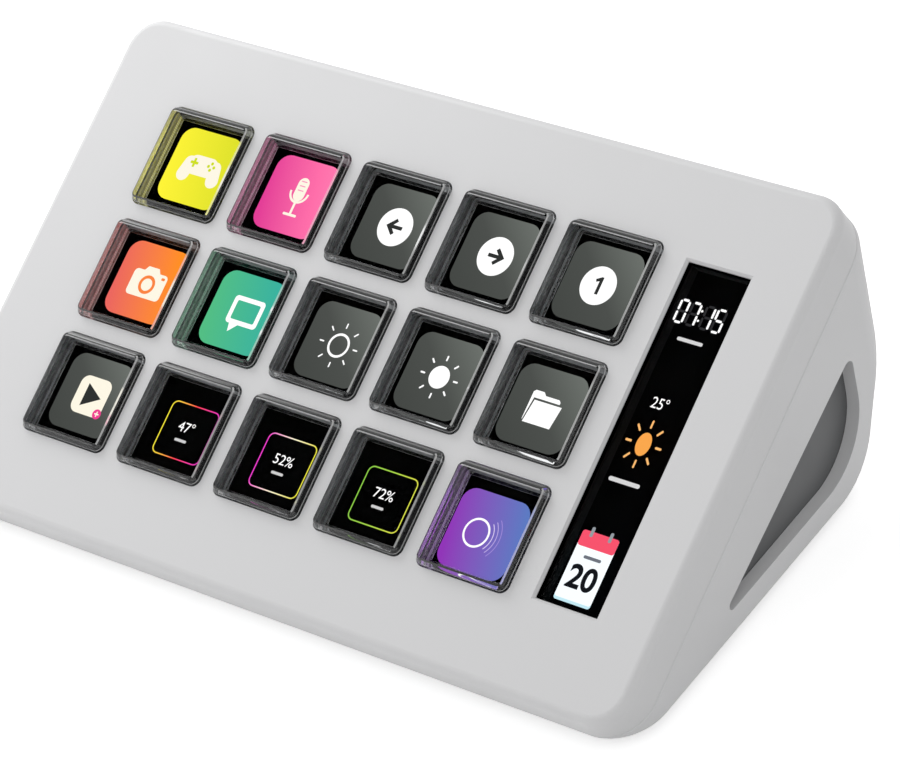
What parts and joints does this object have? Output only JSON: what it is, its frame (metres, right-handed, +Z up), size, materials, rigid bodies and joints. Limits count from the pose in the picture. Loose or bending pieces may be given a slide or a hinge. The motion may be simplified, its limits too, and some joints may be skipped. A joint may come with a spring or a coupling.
{
  "type": "display key macro keypad",
  "caption": "Wedge-shaped desk keypad with rows of clear square display keys that press in, a tall display strip beside them and triangular side recesses.",
  "frame": {"origin": "middle of the footprint, on the surface that the rubber feet stand on", "axes": "+X to the right for someone who sits in front of the keys, +Y away from them towards the high back edge, +Z up. The key face looks up and towards -Y, 28.5 degrees above the desk"},
  "size_m": [0.1256, 0.0698, 0.0425],
  "materials": {
    "housing_plastic": "fine matte moulded ABS, pale grey",
    "panel_plastic": "matte moulded ABS, dark grey",
    "lens_plastic": "clear polished acrylic over a black display",
    "key_plastic": "clear polished acrylic block",
    "mat_silicone": "black silicone, matte",
    "switch_film": "black-printed polyester film",
    "gasket_foam": "closed-cell foam, black",
    "display_glass": "display glass over a lit picture",
    "tray_metal": "pressed sheet, satin",
    "bracket_steel": "zinc-plated pressed steel",
    "screw_steel": "zinc-plated steel",
    "board_laminate": "green solder mask on fibreglass laminate",
    "chip_resin": "moulded epoxy",
    "connector_plastic": "moulded nylon, ivory",
    "ribbon_film": "polyimide film, amber",
    "socket_steel": "bright nickel-plated steel shell",
    "foot_rubber": "matte black rubber"
  },
  "bodies": {
    "housing": {"front_shell": "housing_plastic", "rear_shell": "housing_plastic", "side_panel_left": "panel_plastic", "side_panel_right": "panel_plastic", "strip_lens": "lens_plastic", "usb_socket": "socket_steel", "rubber_feet": "foot_rubber", "key_mat": "mat_silicone", "contact_film": "switch_film", "strip_gasket": "gasket_foam", "lcd_glass": "display_glass", "backlight_tray": "tray_metal", "lcd_bracket": "bracket_steel", "bracket_screws": "screw_steel", "main_board": "board_laminate", "board_chips": "chip_resin", "ribbon_connectors": "connector_plastic", "display_ribbon": "ribbon_film", "key_ribbon": "ribbon_film", "board_screws": "screw_steel", "case_screws": "screw_steel"},
    "key_1_1": {"key_1_1": "key_plastic"},
    "key_1_2": {"key_1_2": "key_plastic"},
    "key_1_3": {"key_1_3": "key_plastic"},
    "key_1_4": {"key_1_4": "key_plastic"},
    "key_1_5": {"key_1_5": "key_plastic"},
    "key_2_1": {"key_2_1": "key_plastic"},
    "key_2_2": {"key_2_2": "key_plastic"},
    "key_2_3": {"key_2_3": "key_plastic"},
    "key_2_4": {"key_2_4": "key_plastic"},
    "key_2_5": {"key_2_5": "key_plastic"},
    "key_3_1": {"key_3_1": "key_plastic"},
    "key_3_2": {"key_3_2": "key_plastic"},
    "key_3_3": {"key_3_3": "key_plastic"},
    "key_3_4": {"key_3_4": "key_plastic"},
    "key_3_5": {"key_3_5": "key_plastic"}
  },
  "joints": [
    {"name": "press_1_1", "type": "slide", "parent": "housing", "child": "key_1_1", "axis": [0, 0.4772, -0.8788], "range_m": [0, 0.0008], "stiffness_N_per_m": 400, "springref_m": -0.0004, "deforming": ["key_mat"]},
    {"name": "press_1_2", "type": "slide", "parent": "housing", "child": "key_1_2", "axis": [0, 0.4772, -0.8788], "range_m": [0, 0.0008], "stiffness_N_per_m": 400, "springref_m": -0.0004, "deforming": ["key_mat"]},
    {"name": "press_1_3", "type": "slide", "parent": "housing", "child": "key_1_3", "axis": [0, 0.4772, -0.8788], "range_m": [0, 0.0008], "stiffness_N_per_m": 400, "springref_m": -0.0004, "deforming": ["key_mat"]},
    {"name": "press_1_4", "type": "slide", "parent": "housing", "child": "key_1_4", "axis": [0, 0.4772, -0.8788], "range_m": [0, 0.0008], "stiffness_N_per_m": 400, "springref_m": -0.0004, "deforming": ["key_mat"]},
    {"name": "press_1_5", "type": "slide", "parent": "housing", "child": "key_1_5", "axis": [0, 0.4772, -0.8788], "range_m": [0, 0.0008], "stiffness_N_per_m": 400, "springref_m": -0.0004, "deforming": ["key_mat"]},
    {"name": "press_2_1", "type": "slide", "parent": "housing", "child": "key_2_1", "axis": [0, 0.4772, -0.8788], "range_m": [0, 0.0008], "stiffness_N_per_m": 400, "springref_m": -0.0004, "deforming": ["key_mat"]},
    {"name": "press_2_2", "type": "slide", "parent": "housing", "child": "key_2_2", "axis": [0, 0.4772, -0.8788], "range_m": [0, 0.0008], "stiffness_N_per_m": 400, "springref_m": -0.0004, "deforming": ["key_mat"]},
    {"name": "press_2_3", "type": "slide", "parent": "housing", "child": "key_2_3", "axis": [0, 0.4772, -0.8788], "range_m": [0, 0.0008], "stiffness_N_per_m": 400, "springref_m": -0.0004, "deforming": ["key_mat"]},
    {"name": "press_2_4", "type": "slide", "parent": "housing", "child": "key_2_4", "axis": [0, 0.4772, -0.8788], "range_m": [0, 0.0008], "stiffness_N_per_m": 400, "springref_m": -0.0004, "deforming": ["key_mat"]},
    {"name": "press_2_5", "type": "slide", "parent": "housing", "child": "key_2_5", "axis": [0, 0.4772, -0.8788], "range_m": [0, 0.0008], "stiffness_N_per_m": 400, "springref_m": -0.0004, "deforming": ["key_mat"]},
    {"name": "press_3_1", "type": "slide", "parent": "housing", "child": "key_3_1", "axis": [0, 0.4772, -0.8788], "range_m": [0, 0.0008], "stiffness_N_per_m": 400, "springref_m": -0.0004, "deforming": ["key_mat"]},
    {"name": "press_3_2", "type": "slide", "parent": "housing", "child": "key_3_2", "axis": [0, 0.4772, -0.8788], "range_m": [0, 0.0008], "stiffness_N_per_m": 400, "springref_m": -0.0004, "deforming": ["key_mat"]},
    {"name": "press_3_3", "type": "slide", "parent": "housing", "child": "key_3_3", "axis": [0, 0.4772, -0.8788], "range_m": [0, 0.0008], "stiffness_N_per_m": 400, "springref_m": -0.0004, "deforming": ["key_mat"]},
    {"name": "press_3_4", "type": "slide", "parent": "housing", "child": "key_3_4", "axis": [0, 0.4772, -0.8788], "range_m": [0, 0.0008], "stiffness_N_per_m": 400, "springref_m": -0.0004, "deforming": ["key_mat"]},
    {"name": "press_3_5", "type": "slide", "parent": "housing", "child": "key_3_5", "axis": [0, 0.4772, -0.8788], "range_m": [0, 0.0008], "stiffness_N_per_m": 400, "springref_m": -0.0004, "deforming": ["key_mat"]}
  ]
}
